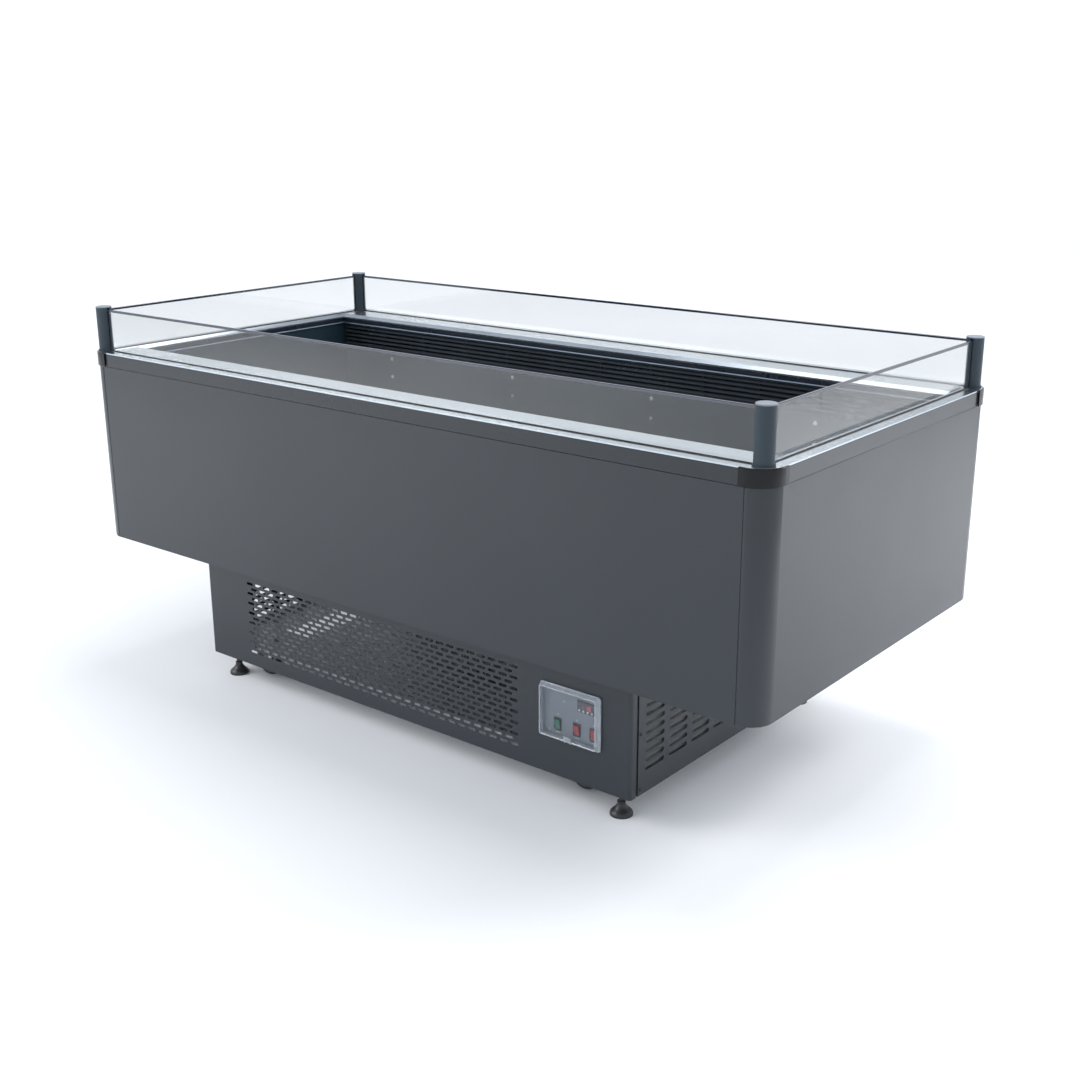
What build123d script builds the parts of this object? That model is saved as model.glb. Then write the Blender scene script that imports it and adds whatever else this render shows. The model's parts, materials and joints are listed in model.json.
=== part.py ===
from build123d import *
import os

# Open-top island display freezer with a glass guard, on a narrower machine base.
# Millimetres, +Z up. The origin is on the floor under the middle of the tub.
# +X runs along the length and -Y faces the side with the controls.

# Overall sizes
LENGTH = 2000.0
WIDTH = 960.0
RIM_Z = 830.0
TUB_BOTTOM_Z = 337.0
GLASS_TOP_Z = 935.0
POST_TOP_Z = 940.0
BASE_LENGTH = 1342.0
BASE_WIDTH = 830.0
BASE_BOTTOM_Z = 61.0

# Sheet metal and running gaps
SHEET = 1.2
LIP = 18.0
GAP = 0.3
SEAM = 1.5
THIN = 0.8

# Tub panels and corners
CORNER_R = 50.0
BAND_HEIGHT = 36.0
BUMPER_THICKNESS = 3.0
CAP_PROUD = 4.0
CAP_LEG = 12.0
PANEL_TOP_Z = RIM_Z - BAND_HEIGHT - GAP
PANEL_END_X = LENGTH / 2 - CORNER_R

# Rim rail section, measured inwards from the outer face and down from the rim
LONG_RAIL_WIDTH = 117.0
END_RAIL_WIDTH = 50.0
RAIL_SKIN = 3.0
RAIL_LIP = 12.0
RAIL_SLOPE = 8.0
RAIL_BEND = RAIL_SKIN * (2 ** 0.5 - 1)
RAIL_LEG = 6.0
GLASS_INSET = 30.0
GLASS_THICKNESS = 6.0
GROOVE_HALF = 3.5
GROOVE_DEPTH = 20.0

# Posts
POST_R = 19.5
POST_COLLAR_R = 21.5
POST_COLLAR_HEIGHT = 3.0
POST_CAP_THICKNESS = 2.5
POST_SLOT_FLOOR = 13.0

# Insulated tub
FOAM_TOP_Z = 792.0
FOAM_BOTTOM_Z = 340.2
LINER_X = 956.0
LINER_Y = 441.0
LINER_FLOOR_Z = 400.0
LINER_TOP_Z = 806.0
DRAIN_X = 760.0
DRAIN_Y = 300.0
DRAIN_R = 14.0

# Air walls, deck and cold side
GRILLE_Y = 368.0
GRILLE_DEPTH = 13.0
GRILLE_X = 952.0
GRILLE_TOP_Z = 802.0
GRILLE_BOTTOM_Z = 736.0
SLAT_PITCH = 11.8
SLAT_COUNT = 5
DECK_Z = 560.0
DECK_SKIRT = 3.2
LEDGE = 20.0
DECK_HALF_X = 948.5
DECK_HALF_Y = 361.5
FAN_WALL_Y = -150.0
FAN_WALL_TOP_Z = 545.0
FAN_X = 400.0
FAN_Z = 473.0
COLD_FAN_R = 58.0
SHAFT_R = 3.0
SHAFT_CLEARANCE = 0.05

# Machine base
BASE_CORNER_R = 8.0
BASE_RETURN = 20.0
BASE_TOP_Z = 338.3
SIDE_PANEL_Y = 388.0
GRILL_X0 = -521.0
GRILL_TOP_Z = 289.0
GRILL_COLUMNS = 29
GRILL_ROWS = 15
GRILL_PITCH_X = 30.9
GRILL_PITCH_Z = 13.1
GRILL_SLOT = (23.0, 6.8)
LOUVRE_SLOT = (68.0, 11.0)
LOUVRE_PITCH_Y = 88.0
LOUVRE_PITCH_Z = 20.4
LOUVRE_COLUMNS = 8
LOUVRE_ROWS = 10
LOUVRE_FIRST_Y = -328.0
LOUVRE_FIRST_Z = 117.0
PAN_Z = 100.0
PAN_SHEET = 1.5
PAN_X = 660.0
PAN_Y = 404.0
PAN_LIP = 15.0
UPRIGHT = 30.0

# Feet and casters
FOOT_X = 621.0
FOOT_Y = 375.0
FOOT_R = 25.0
STEM_R = 6.0
CASTER_X = 520.0
CASTER_Y = 330.0
CASTER_TRAIL = 25.0
WHEEL_R = 37.5
WHEEL_WIDTH = 24.0
WHEEL_Z = 39.5
AXLE_R = 4.0

# Condensing unit
COMPRESSOR_X = -210.0
COMPRESSOR_Y = 130.0
COMPRESSOR_R = 76.0
COMPRESSOR_DOME = 45.0
COMPRESSOR_TOP_Z = PAN_Z + PAN_SHEET + 16 + 128 + COMPRESSOR_DOME
CONDENSER_X = 170.0
CONDENSER_Y = -170.0
CONDENSER_Z = 215.0
CONDENSER_SIZE = (340.0, 60.0, 214.0)
HOT_FAN_R = 90.0

# Control box
BOX_X = 516.0
BOX_Z = 209.75
BOX_SIZE = (148.0, 110.0)
BOX_DEPTH = 55.0
COVER_SIZE = (160.0, 121.5)
COVER_DEPTH = 15.0
ROCKER_X = (479.0, 530.0, 574.0)
ROCKER_Z = 181.0
ROCKER_SIZE = (14.0, 24.0)
DISPLAY_X = 556.0
DISPLAY_Z = 237.0
DISPLAY_SIZE = (50.0, 26.0)
GLAND_X = 560.0
GLAND_Z = 145.0
GLAND_BORE_R = 5.0

# Outward direction of each side of the tub
SIDES = {"front": (0, -1), "back": (0, 1), "left": (-1, 0), "right": (1, 0)}


def write(piece, label):
    piece.part.label = label
    export_step(piece.part, f"parts/{label}.step")


def side_half_run(side):
    return WIDTH / 2 if SIDES[side][0] else LENGTH / 2


def side_plane(side):
    """Section plane of one tub side: local x points inwards and local y up from the rim."""
    ox, oy = SIDES[side]
    origin = (ox * LENGTH / 2, oy * WIDTH / 2, RIM_Z)
    return Plane(origin=origin, x_dir=(-ox, -oy, 0), z_dir=(-oy, ox, 0))


def tub_outline(inset):
    """Rounded plan of the tub, drawn in from its outer face."""
    RectangleRounded(LENGTH - 2 * inset, WIDTH - 2 * inset, CORNER_R - inset)


# ------------------------------------------------------------------ tub shell

def long_panel(side):
    """Flat sheet between the two end panels, with a lip folded in at its foot and head."""
    foot = TUB_BOTTOM_Z - RIM_Z
    head = PANEL_TOP_Z - RIM_Z
    with BuildPart() as piece:
        with BuildSketch(side_plane(side)):
            with BuildLine():
                Polyline(
                    (0, foot), (0, head), (LIP, head), (LIP, head - SHEET),
                    (SHEET, head - SHEET), (SHEET, foot + SHEET),
                    (LIP, foot + SHEET), (LIP, foot), close=True,
                )
            make_face()
        extrude(amount=PANEL_END_X - SEAM / 2, both=True)
    return piece


def end_panel(side):
    """Sheet bent round both corners of one end, with a lip folded in along its foot."""
    end_x = SIDES[side][0] * (PANEL_END_X + SEAM / 2 + CORNER_R)
    with BuildPart() as piece:
        for height, inner in ((PANEL_TOP_Z - TUB_BOTTOM_Z, SHEET), (SHEET, LIP)):
            with BuildSketch(Plane.XY.offset(TUB_BOTTOM_Z)):
                tub_outline(0)
                with BuildSketch(mode=Mode.SUBTRACT):
                    tub_outline(inner)
                with Locations((end_x, 0)):
                    Rectangle(2 * CORNER_R, 2 * WIDTH, mode=Mode.INTERSECT)
            extrude(amount=height)
    return piece


def tub_base_sheet():
    """Galvanised sheet that closes the foam from below, with the drain hole."""
    with BuildPart() as piece:
        with BuildSketch(Plane.XY.offset(BASE_TOP_Z + GAP)):
            tub_outline(2 * SHEET)
            with Locations((DRAIN_X, DRAIN_Y)):
                Circle(DRAIN_R + GAP, mode=Mode.SUBTRACT)
        extrude(amount=THIN)
    return piece


def insulation_foam():
    """Five foam slabs: two long walls, two end walls and the floor."""
    inset = SHEET + GAP
    wall_y = LINER_Y + GAP
    wall_x = LINER_X + GAP
    height = FOAM_TOP_Z - FOAM_BOTTOM_Z
    thick_y = WIDTH / 2 - inset - wall_y
    thick_x = LENGTH / 2 - inset - wall_x
    with BuildPart() as piece:
        with BuildSketch(Plane.XY.offset(FOAM_BOTTOM_Z)):
            for s in (-1, 1):
                with Locations((0, s * (wall_y + thick_y / 2))):
                    Rectangle(LENGTH - 2 * inset, thick_y)
                with Locations((s * (wall_x + thick_x / 2), 0)):
                    Rectangle(thick_x, 2 * (wall_y - GAP))
            with BuildSketch(mode=Mode.INTERSECT):
                tub_outline(inset)
        extrude(amount=height)
        with BuildSketch(Plane.XY.offset(FOAM_BOTTOM_Z)):
            Rectangle(2 * (wall_x - GAP), 2 * (wall_y - GAP))
            with Locations((DRAIN_X, DRAIN_Y)):
                Circle(DRAIN_R + GAP, mode=Mode.SUBTRACT)
        extrude(amount=LINER_FLOOR_Z - FOAM_BOTTOM_Z - GAP)
    return piece


def inner_liner():
    """Thin open tub with a drain spout through the foam."""
    with BuildPart() as piece:
        with BuildSketch(Plane.XY.offset(LINER_FLOOR_Z)):
            Rectangle(2 * LINER_X, 2 * LINER_Y)
        extrude(amount=LINER_TOP_Z - LINER_FLOOR_Z)
        with BuildSketch(Plane.XY.offset(LINER_FLOOR_Z + THIN)):
            Rectangle(2 * (LINER_X - THIN), 2 * (LINER_Y - THIN))
        extrude(amount=LINER_TOP_Z, mode=Mode.SUBTRACT)
        with BuildSketch(Plane.XY.offset(TUB_BOTTOM_Z - LIP)):
            with Locations((DRAIN_X, DRAIN_Y)):
                Circle(DRAIN_R)
        extrude(amount=LINER_FLOOR_Z - TUB_BOTTOM_Z + LIP)
        with BuildSketch(Plane.XY.offset(TUB_BOTTOM_Z - LIP)):
            with Locations((DRAIN_X, DRAIN_Y)):
                Circle(DRAIN_R - 2 * THIN)
        extrude(amount=LINER_FLOOR_Z, mode=Mode.SUBTRACT)
    return piece


# ------------------------------------------------------------------ rim and guard

def rim_rail(side):
    """Aluminium extrusion with a groove for the glass and a leg behind the bumper.

    The corners are mitred over the width of an end rail, and the rest of a long rail
    ends square against the inner edge of the end rails.
    """
    ox, oy = SIDES[side]
    tx, ty = -oy, ox
    width = END_RAIL_WIDTH if ox else LONG_RAIL_WIDTH
    half = side_half_run(side) - GAP / 2
    square = half - END_RAIL_WIDTH - GAP / 2
    reach = width + 1
    centre = (ox * LENGTH / 2, oy * WIDTH / 2)
    g0 = GLASS_INSET - GROOVE_HALF
    g1 = GLASS_INSET + GROOVE_HALF
    leg0 = BUMPER_THICKNESS + GAP
    under = -RAIL_SKIN
    groove = -GROOVE_DEPTH
    with BuildPart() as piece:
        with BuildSketch(side_plane(side)):
            with BuildLine():
                Polyline(
                    (0, 0), (g0, 0), (g0, groove), (g1, groove), (g1, 0),
                    (width - RAIL_SLOPE, 0), (width, -RAIL_SLOPE), (width, -RAIL_LIP),
                    (width - RAIL_SKIN, -RAIL_LIP), (width - RAIL_SKIN, -RAIL_SLOPE - RAIL_BEND),
                    (width - RAIL_SLOPE - RAIL_BEND, under), (g1 + RAIL_SKIN, under),
                    (g1 + RAIL_SKIN, groove - RAIL_SKIN), (g0 - RAIL_SKIN, groove - RAIL_SKIN),
                    (g0 - RAIL_SKIN, under), (RAIL_LEG, under), (RAIL_LEG, -BAND_HEIGHT),
                    (leg0, -BAND_HEIGHT), (leg0, under), (0, under), close=True,
                )
            make_face()
        extrude(amount=side_half_run(side), both=True)
        with BuildSketch(Plane.XY.offset(RIM_Z - BAND_HEIGHT)):
            with BuildLine():
                corners = [
                    (0, -half), (0, half), (END_RAIL_WIDTH, square), (reach, square),
                    (reach, -square), (END_RAIL_WIDTH, -square),
                ]
                Polyline(
                    *[
                        (centre[0] - ox * depth + tx * run, centre[1] - oy * depth + ty * run)
                        for depth, run in corners
                    ],
                    close=True,
                )
            make_face()
            with BuildSketch(mode=Mode.INTERSECT):
                tub_outline(0)
        extrude(amount=BAND_HEIGHT, mode=Mode.INTERSECT)
    return piece


def bumper_rails():
    """Four straight bumper strips under the edge of the rim rails."""
    top = -RAIL_SKIN - GAP
    height = BAND_HEIGHT - RAIL_SKIN - 2 * GAP
    with BuildPart() as piece:
        for side in SIDES:
            with BuildSketch(side_plane(side)):
                with Locations((BUMPER_THICKNESS / 2, top - height / 2)):
                    RectangleRounded(BUMPER_THICKNESS, height, BUMPER_THICKNESS / 3)
            extrude(amount=side_half_run(side) - CORNER_R - CAP_LEG - SEAM / 2, both=True)
    return piece


def corner_caps():
    """Four wrap-round bumper corners that stand proud of the panels."""
    clear_x = LENGTH - 2 * (CORNER_R + CAP_LEG)
    clear_y = WIDTH - 2 * (CORNER_R + CAP_LEG)
    with BuildPart() as piece:
        with BuildSketch(Plane.XY.offset(RIM_Z - BAND_HEIGHT)):
            tub_outline(-CAP_PROUD)
            with BuildSketch(mode=Mode.SUBTRACT):
                tub_outline(-GAP / 2)
            Rectangle(clear_x, 2 * WIDTH, mode=Mode.SUBTRACT)
            Rectangle(2 * LENGTH, clear_y, mode=Mode.SUBTRACT)
        extrude(amount=BAND_HEIGHT)
        for rim in (piece.faces().group_by(Axis.Z)[-1], piece.faces().group_by(Axis.Z)[0]):
            chamfer(rim.edges().filter_by(lambda e: e.length > CORNER_R), length=1)
    return piece


def post_centres():
    return GridLocations(LENGTH - 2 * GLASS_INSET, WIDTH - 2 * GLASS_INSET, 2, 2)


def corner_posts():
    """Four round guard posts, slotted to take the edges of the glass."""
    foot_z = RIM_Z + GAP / 2
    slot = GLASS_THICKNESS + 2 * GAP
    with BuildPart() as piece:
        with BuildSketch(Plane.XY.offset(foot_z)):
            with post_centres():
                Circle(POST_R)
        extrude(amount=POST_TOP_Z - foot_z)
        with BuildSketch(Plane.XY.offset(foot_z)):
            with post_centres():
                Circle(POST_COLLAR_R)
        extrude(amount=POST_COLLAR_HEIGHT)
        with BuildSketch(Plane.XY.offset(RIM_Z)):
            inner_x = LENGTH / 2 - GLASS_INSET - POST_SLOT_FLOOR
            inner_y = WIDTH / 2 - GLASS_INSET - POST_SLOT_FLOOR
            with GridLocations(0.1, WIDTH - 2 * GLASS_INSET, 1, 2):
                Rectangle(2 * inner_x, slot)
            with GridLocations(LENGTH - 2 * GLASS_INSET, 0.1, 2, 1):
                Rectangle(slot, 2 * inner_y)
        extrude(amount=POST_TOP_Z - RIM_Z, mode=Mode.SUBTRACT)
    return piece


def post_caps():
    """Four flat discs that close the tops of the posts."""
    with BuildPart() as piece:
        with BuildSketch(Plane.XY.offset(POST_TOP_Z)):
            with post_centres():
                Circle(POST_R + GAP)
        extrude(amount=POST_CAP_THICKNESS)
        chamfer(piece.faces().group_by(Axis.Z)[-1].edges(), length=THIN)
    return piece


def glass_pane(side):
    """Toughened pane that stands in the rail groove between two posts."""
    half = side_half_run(side) - GLASS_INSET - POST_SLOT_FLOOR - 2 * GAP
    foot = -GROOVE_DEPTH + GAP
    height = GLASS_TOP_Z - RIM_Z - foot
    with BuildPart() as piece:
        with BuildSketch(side_plane(side)):
            with Locations((GLASS_INSET, foot + height / 2)):
                Rectangle(GLASS_THICKNESS, height)
        extrude(amount=half, both=True)
        chamfer(piece.faces().group_by(Axis.Z)[-1].edges(), length=THIN)
    return piece


# ------------------------------------------------------------------ product well

def air_grille(side):
    """Slatted outlet or return grille with vertical ribs behind the slats."""
    s = SIDES[side][1]
    front = s * GRILLE_Y
    back = s * (GRILLE_Y + GRILLE_DEPTH)
    rib = s * (GRILLE_Y + GRILLE_DEPTH / 2)
    height = GRILLE_TOP_Z - GRILLE_BOTTOM_Z
    with BuildPart() as piece:
        for z in (GRILLE_TOP_Z - 3.5, GRILLE_BOTTOM_Z):
            with BuildSketch(Plane.YZ):
                with Locations(((front + back) / 2, z + 1.75)):
                    Rectangle(GRILLE_DEPTH, 3.5)
            extrude(amount=GRILLE_X, both=True)
        for i in range(SLAT_COUNT):
            lip_z = GRILLE_BOTTOM_Z + SLAT_PITCH * (i + 0.5)
            with BuildSketch(Plane.YZ):
                with BuildLine():
                    Polyline(
                        (front, lip_z), (front, lip_z + 2), (rib, lip_z + 5.5),
                        (rib, lip_z + 4), (front + s * 1.5, lip_z + 1), (front + s * 1.5, lip_z),
                        close=True,
                    )
                make_face()
            extrude(amount=GRILLE_X, both=True)
        with BuildSketch(Plane.XY.offset(GRILLE_BOTTOM_Z)):
            with GridLocations((2 * GRILLE_X - 3) / 12, 0.1, 13, 1):
                with Locations((0, (rib + back) / 2 - s * 1)):
                    Rectangle(3, GRILLE_DEPTH / 2 + 2)
        extrude(amount=height)
    return piece


def duct_panels():
    """Two plain sheets between the grilles and the deck, each with a ledge for the deck."""
    top = GRILLE_BOTTOM_Z - GAP
    ledge = DECK_Z - DECK_SKIRT - GAP
    with BuildPart() as piece:
        for s in (-1, 1):
            with BuildSketch(Plane.YZ):
                with BuildLine():
                    Polyline(
                        (s * (GRILLE_Y + 1), top), (s * (GRILLE_Y + 1 + SHEET), top),
                        (s * (GRILLE_Y + 1 + SHEET), ledge - SHEET),
                        (s * (GRILLE_Y - LEDGE), ledge - SHEET), (s * (GRILLE_Y - LEDGE), ledge),
                        (s * (GRILLE_Y + 1), ledge), close=True,
                    )
                make_face()
            extrude(amount=GRILLE_X, both=True)
    return piece


def deck_pan(s):
    """Lift-out floor pan with a skirt and four finger holes."""
    span = DECK_HALF_X - 2 * GAP
    centre = s * (DECK_HALF_X + GAP) / 2
    depth = 2 * DECK_HALF_Y
    with BuildPart() as piece:
        with BuildSketch(Plane.XY.offset(DECK_Z - DECK_SKIRT)):
            with Locations((centre, 0)):
                Rectangle(span - GAP, depth)
        extrude(amount=DECK_SKIRT)
        with BuildSketch(Plane.XY.offset(DECK_Z - DECK_SKIRT)):
            with Locations((centre, 0)):
                Rectangle(span - GAP - 2 * SHEET, depth - 2 * SHEET)
        extrude(amount=DECK_SKIRT - SHEET, mode=Mode.SUBTRACT)
        with BuildSketch(Plane.XY.offset(DECK_Z - DECK_SKIRT)):
            with Locations((centre, 0)):
                with GridLocations(span * 0.6, depth * 0.8, 2, 2):
                    SlotOverall(60, 24)
        extrude(amount=DECK_SKIRT, mode=Mode.SUBTRACT)
    return piece


def fin_coil(centre, size, fins, rows, columns, tube_r):
    """Finned block: thin plates along X on straight tubes, between two end plates."""
    cx, cy, cz = centre
    sx, sy, sz = size
    with BuildPart() as piece:
        with BuildSketch(Plane.YZ.offset(cx)):
            with Locations((cy, cz)):
                with GridLocations(sy / columns, sz / rows, columns, rows):
                    Circle(tube_r)
        extrude(amount=sx / 2 + 6, both=True)
        for i in range(fins):
            x = cx - sx / 2 + sx * i / (fins - 1)
            with BuildSketch(Plane.YZ.offset(x)):
                with Locations((cy, cz)):
                    Rectangle(sy, sz)
            extrude(amount=THIN / 2, both=True)
    return piece


def evaporator_coil():
    height = FAN_WALL_TOP_Z - LINER_FLOOR_Z - 10
    centre = (0, 100, LINER_FLOOR_Z + 5 + height / 2)
    return fin_coil(centre, (1560, 200, height), 25, 2, 4, 5)


def evaporator_fan_deck():
    """Upright wall across the cold space with one round opening for each fan."""
    height = FAN_WALL_TOP_Z - LINER_FLOOR_Z - THIN - 2 * GAP
    with BuildPart() as piece:
        with BuildSketch(Plane.XZ.offset(-FAN_WALL_Y)):
            with Locations((0, LINER_FLOOR_Z + THIN + GAP + height / 2)):
                Rectangle(2 * GRILLE_X, height)
            for s in (-1, 1):
                with Locations((s * FAN_X, FAN_Z)):
                    Circle(COLD_FAN_R + 3, mode=Mode.SUBTRACT)
        extrude(amount=SHEET)
        with BuildSketch(Plane.XY.offset(LINER_FLOOR_Z + THIN + GAP)):
            with Locations((0, FAN_WALL_Y - LIP / 2)):
                Rectangle(2 * GRILLE_X, LIP)
        extrude(amount=SHEET)
    return piece


def fan_motor(plane, can_r, can_length, standoff, reach):
    """Round motor with a shaft socket and three arms that meet the plate round the fan."""
    with BuildPart() as piece:
        with BuildSketch(plane.offset(standoff)):
            Circle(can_r)
        extrude(amount=can_length)
        with BuildSketch(plane.offset(standoff)):
            with PolarLocations(reach / 2, 3):
                Rectangle(reach, 6)
            Circle(can_r * 0.6)
        extrude(amount=3)
        with BuildSketch(plane):
            with PolarLocations(reach - 3, 3):
                Rectangle(6, 6)
        extrude(amount=standoff + 3)
        with BuildSketch(plane.offset(standoff)):
            Circle(SHAFT_R + SHAFT_CLEARANCE)
        extrude(amount=can_length / 2, mode=Mode.SUBTRACT)
    return piece


def fan_rotor(plane, radius, hub_r, depth, blades, shaft_end):
    """Axial fan: hub, pitched blades trimmed to a cylinder, and the motor shaft."""
    with BuildPart(plane) as piece:
        with PolarLocations((hub_r + radius) / 2, blades):
            Box(radius - hub_r + 6, 2, depth * 1.5, rotation=(42, 0, 0))
        Cylinder(radius, depth, mode=Mode.INTERSECT)
        Cylinder(hub_r, depth)
        with Locations((0, 0, shaft_end / 2)):
            Cylinder(SHAFT_R, shaft_end)
    return piece


def cold_fan_plane(s):
    return Plane(origin=(s * FAN_X, FAN_WALL_Y - SHEET, FAN_Z), x_dir=(1, 0, 0), z_dir=(0, -1, 0))


def evaporator_fan_motors():
    """Two motors on the upwind face of the fan wall."""
    with BuildPart() as piece:
        for s in (-1, 1):
            add(fan_motor(cold_fan_plane(s), 24, 36, 18, COLD_FAN_R + 9).part)
    return piece


def evaporator_fan(s):
    plane = cold_fan_plane(s).offset(-2)
    return fan_rotor(plane, COLD_FAN_R, 18, 22, 5, 34)


# ------------------------------------------------------------------ machine base

def base_wrap(s):
    """Front or back base sheet: bent round both corners, with folded head and foot."""
    edge_y = BASE_WIDTH / 2 - BASE_RETURN
    with BuildPart() as piece:
        for z, height, inner in (
            (BASE_BOTTOM_Z, BASE_TOP_Z - BASE_BOTTOM_Z, SHEET),
            (BASE_BOTTOM_Z, SHEET, BASE_CORNER_R - 1),
            (BASE_TOP_Z - SHEET, SHEET, BASE_CORNER_R - 1),
        ):
            with BuildSketch(Plane.XY.offset(z)):
                RectangleRounded(BASE_LENGTH, BASE_WIDTH, BASE_CORNER_R)
                RectangleRounded(
                    BASE_LENGTH - 2 * inner, BASE_WIDTH - 2 * inner, BASE_CORNER_R - inner,
                    mode=Mode.SUBTRACT,
                )
                with Locations((0, s * (edge_y + BASE_RETURN))):
                    Rectangle(BASE_LENGTH + 10, 2 * BASE_RETURN, mode=Mode.INTERSECT)
            extrude(amount=height)
    return piece


def grill_slot_places():
    """Centres of the brick-staggered slots, row by row from the top."""
    places = []
    for row in range(GRILL_ROWS):
        shift = (row % 2) * GRILL_PITCH_X / 2
        for column in range(GRILL_COLUMNS - row % 2):
            x = GRILL_X0 + GRILL_PITCH_X * (column + 0.5) + shift
            places.append((x, GRILL_TOP_Z - GRILL_PITCH_Z * (row + 0.5)))
    return places


def base_front_grille():
    """Perforated front sheet with the cut-out for the control box."""
    wrap = base_wrap(-1)
    with BuildPart() as piece:
        add(wrap.part)
        with BuildSketch(Plane.XZ.offset(BASE_WIDTH / 2 + 1)):
            with Locations(*grill_slot_places()):
                SlotOverall(*GRILL_SLOT)
            with Locations((BOX_X, BOX_Z)):
                Rectangle(BOX_SIZE[0] + 2 * SEAM, BOX_SIZE[1] + 2 * SEAM)
        extrude(amount=-3 * SHEET, mode=Mode.SUBTRACT)
    return piece


def base_back_grille():
    """Back sheet with louvre slots and the hole for the cable gland."""
    wrap = base_wrap(1)
    with BuildPart() as piece:
        add(wrap.part)
        with BuildSketch(Plane.XZ.offset(-BASE_WIDTH / 2 - 1)):
            with Locations((0, LOUVRE_FIRST_Z + LOUVRE_PITCH_Z * (LOUVRE_ROWS - 1) / 2)):
                with GridLocations(LOUVRE_PITCH_Y, LOUVRE_PITCH_Z, 10, LOUVRE_ROWS):
                    SlotOverall(*LOUVRE_SLOT)
            with Locations((GLAND_X, GLAND_Z)):
                Circle(10 + GAP / 2)
        extrude(amount=3 * SHEET, mode=Mode.SUBTRACT)
    return piece


def side_screw_places():
    """Screws of one side panel, as (y, z)."""
    return [(y * (SIDE_PANEL_Y - 9), z) for y in (-1, 1) for z in (73, 200, 327)]


def base_side_panel(s):
    """Louvred end sheet with folded edges and screw holes."""
    outer = s * BASE_LENGTH / 2
    centre_z = (BASE_BOTTOM_Z + BASE_TOP_Z) / 2
    height = BASE_TOP_Z - BASE_BOTTOM_Z
    with BuildPart() as piece:
        with BuildSketch(Plane.YZ.offset(outer)):
            with Locations((0, centre_z)):
                Rectangle(2 * SIDE_PANEL_Y, height)
            middle_y = LOUVRE_FIRST_Y + LOUVRE_PITCH_Y * (LOUVRE_COLUMNS - 1) / 2
            middle_z = LOUVRE_FIRST_Z + LOUVRE_PITCH_Z * (LOUVRE_ROWS - 1) / 2
            with Locations((middle_y, middle_z)):
                with GridLocations(LOUVRE_PITCH_Y, LOUVRE_PITCH_Z, LOUVRE_COLUMNS, LOUVRE_ROWS):
                    SlotOverall(*LOUVRE_SLOT, mode=Mode.SUBTRACT)
            with Locations(*side_screw_places()):
                Circle(2.1, mode=Mode.SUBTRACT)
        extrude(amount=-s * SHEET)
        with BuildSketch(Plane.YZ.offset(outer)):
            for y in (-1, 1):
                with Locations((y * (SIDE_PANEL_Y - SHEET / 2), centre_z)):
                    Rectangle(SHEET, height)
            with Locations((0, BASE_BOTTOM_Z + SHEET / 2)):
                Rectangle(2 * SIDE_PANEL_Y, SHEET)
        extrude(amount=-s * (BASE_CORNER_R - 1))
    return piece


def panel_screws():
    """Pan-head screws of both side panels."""
    with BuildPart() as piece:
        for s in (-1, 1):
            outer = s * BASE_LENGTH / 2
            with BuildSketch(Plane.YZ.offset(outer)):
                with Locations(*side_screw_places()):
                    Circle(4)
            extrude(amount=s * 2)
            with BuildSketch(Plane.YZ.offset(outer)):
                with Locations(*side_screw_places()):
                    Circle(2)
            extrude(amount=-s * 6)
    return piece


def chassis_pan():
    """Galvanised floor pan with lips, weld nuts, an air opening and four uprights."""
    floor_top = PAN_Z + PAN_SHEET
    with BuildPart() as piece:
        with BuildSketch(Plane.XY.offset(PAN_Z)):
            Rectangle(2 * PAN_X, 2 * PAN_Y)
            with Locations((-512, -168)):
                Rectangle(83, 195, mode=Mode.SUBTRACT)
        extrude(amount=PAN_SHEET)
        with BuildSketch(Plane.XY.offset(floor_top)):
            Rectangle(2 * PAN_X, 2 * PAN_Y)
            Rectangle(2 * (PAN_X - PAN_SHEET), 2 * (PAN_Y - PAN_SHEET), mode=Mode.SUBTRACT)
        extrude(amount=PAN_LIP - PAN_SHEET)
        with BuildSketch(Plane.XY.offset(floor_top)):
            with GridLocations(2 * (PAN_X - UPRIGHT / 2), 2 * (PAN_Y - UPRIGHT / 2), 2, 2):
                Rectangle(UPRIGHT, UPRIGHT)
            Rectangle(2 * (PAN_X - 2), 2 * (PAN_Y - 2), mode=Mode.SUBTRACT)
        extrude(amount=BASE_TOP_Z + GAP - floor_top)
        with BuildSketch(Plane.XY.offset(PAN_Z - 10)):
            with GridLocations(2 * FOOT_X, 2 * FOOT_Y, 2, 2):
                RegularPolygon(11, 6)
        extrude(amount=10)
        with BuildSketch(Plane.XY.offset(PAN_Z - 10)):
            with GridLocations(2 * FOOT_X, 2 * FOOT_Y, 2, 2):
                Circle(STEM_R + SHAFT_CLEARANCE)
            with GridLocations(2 * CASTER_X, 2 * CASTER_Y, 2, 2):
                Circle(AXLE_R + SHAFT_CLEARANCE)
        extrude(amount=10 + PAN_SHEET, mode=Mode.SUBTRACT)
    return piece


def levelling_foot(x, y):
    """Bell-shaped foot on a threaded stem."""
    with BuildPart() as piece:
        with BuildSketch(Plane(origin=(x, y, 0), x_dir=(1, 0, 0), z_dir=(0, -1, 0))):
            with BuildLine():
                Polyline((0, 0), (FOOT_R, 0), (FOOT_R, 4))
                Spline((FOOT_R, 4), (17, 14), (9, 26), tangents=((-0.2, 1), (-0.3, 1)))
                Polyline((9, 26), (9, 32), (STEM_R, 34), (STEM_R, 125), (0, 125), (0, 0))
            make_face()
        revolve(axis=Axis((x, y, 0), (0, 0, 1)))
    return piece


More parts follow.
